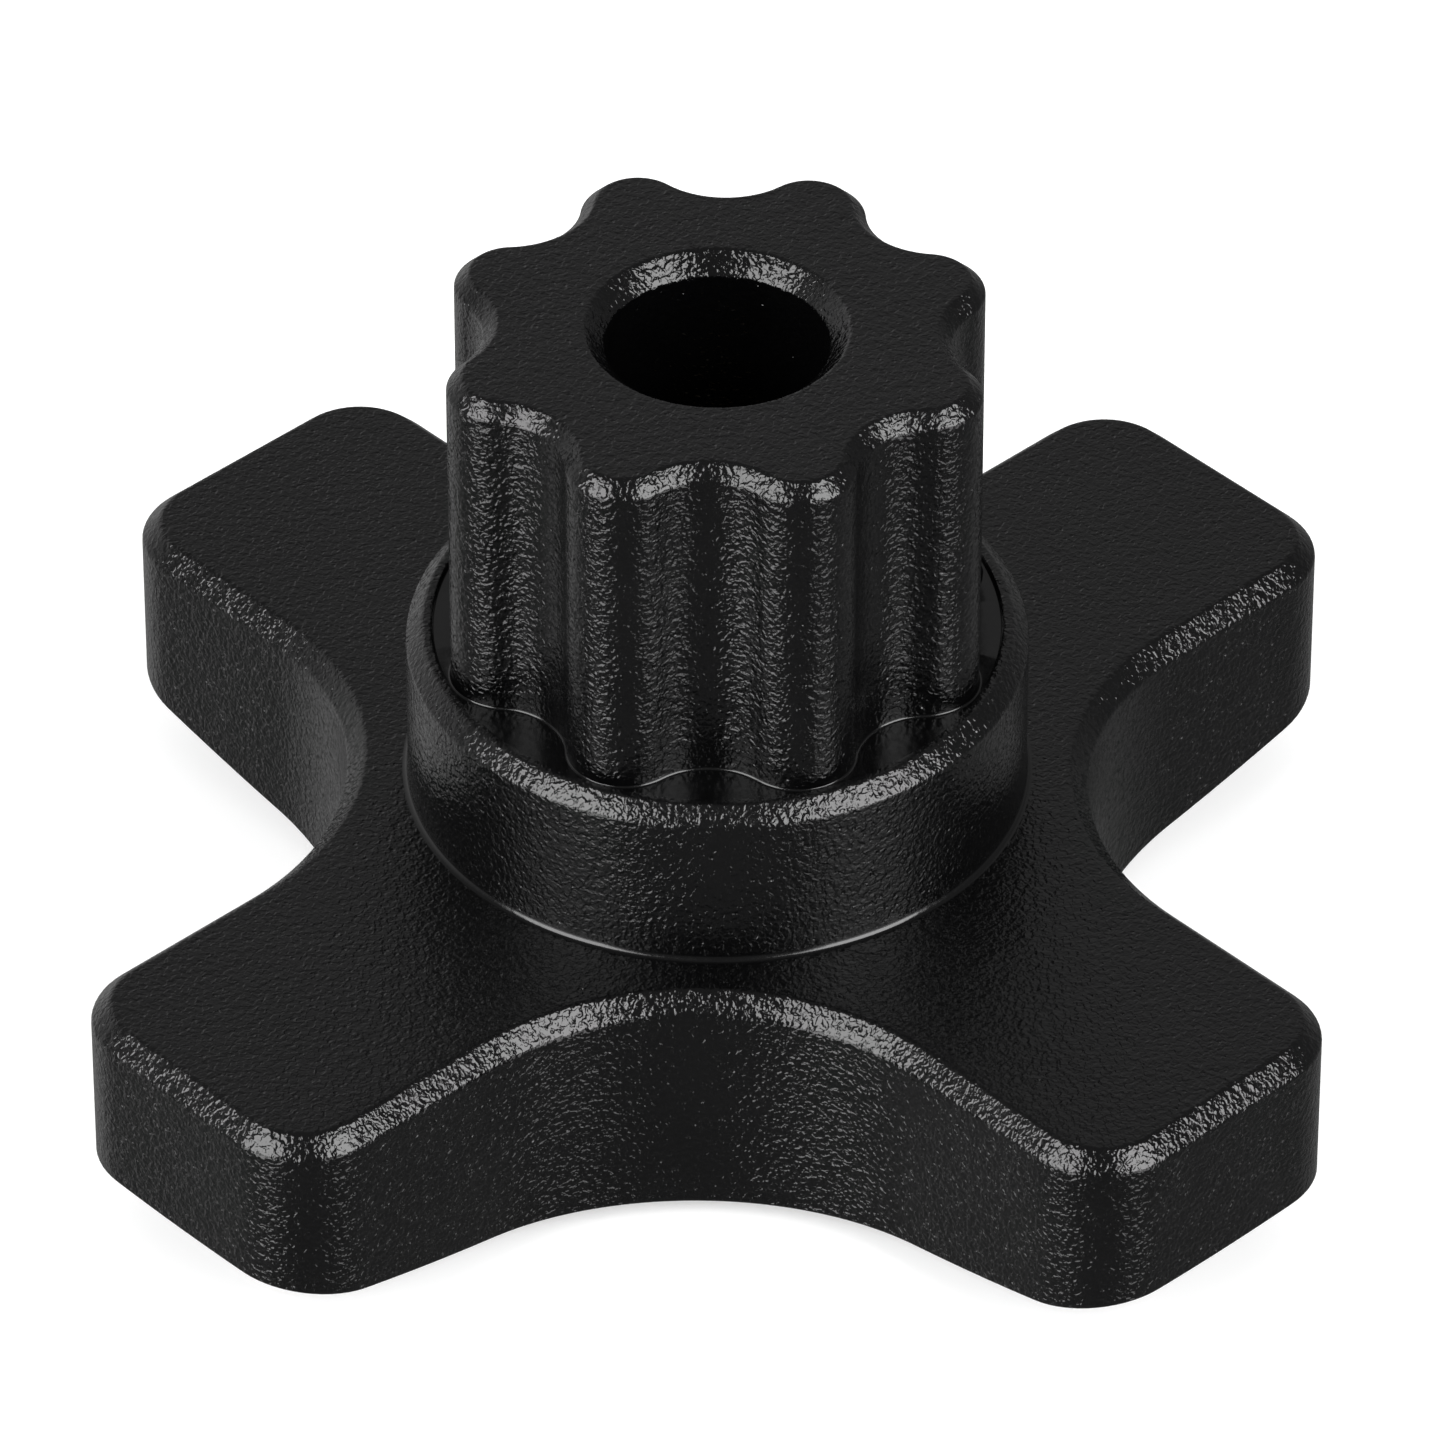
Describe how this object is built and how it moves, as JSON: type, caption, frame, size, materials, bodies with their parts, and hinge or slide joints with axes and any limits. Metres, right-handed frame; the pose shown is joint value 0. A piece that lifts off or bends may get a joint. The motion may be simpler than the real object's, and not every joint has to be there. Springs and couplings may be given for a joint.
{
  "type": "hand nut",
  "caption": "Cross-shaped hand nut with a tall fluted finger hub on a low collar, a threaded metal insert and a captive thrust washer.",
  "frame": {"origin": "on the thread axis, at the washer's bearing face", "axes": "+Z along the thread axis towards the finger hub; the four arms lie along +X, -X, +Y and -Y"},
  "size_m": [0.0724, 0.0724, 0.0413],
  "materials": {
    "moulded_nylon": "spark-textured moulded black, satin",
    "insert_brass": "turned brass",
    "washer_steel": "zinc plated, turned face"
  },
  "bodies": {
    "nut": {"cross_grip": "moulded_nylon", "collar_ring": "moulded_nylon", "fluted_hub": "moulded_nylon", "threaded_insert": "insert_brass"},
    "washer": {"thrust_washer": "washer_steel"}
  },
  "joints": [
    {"name": "washer_spin", "type": "hinge", "parent": "nut", "child": "washer", "pos_m": [0, 0, 0.0008], "axis": [0, 0, 1], "continuous": true}
  ]
}
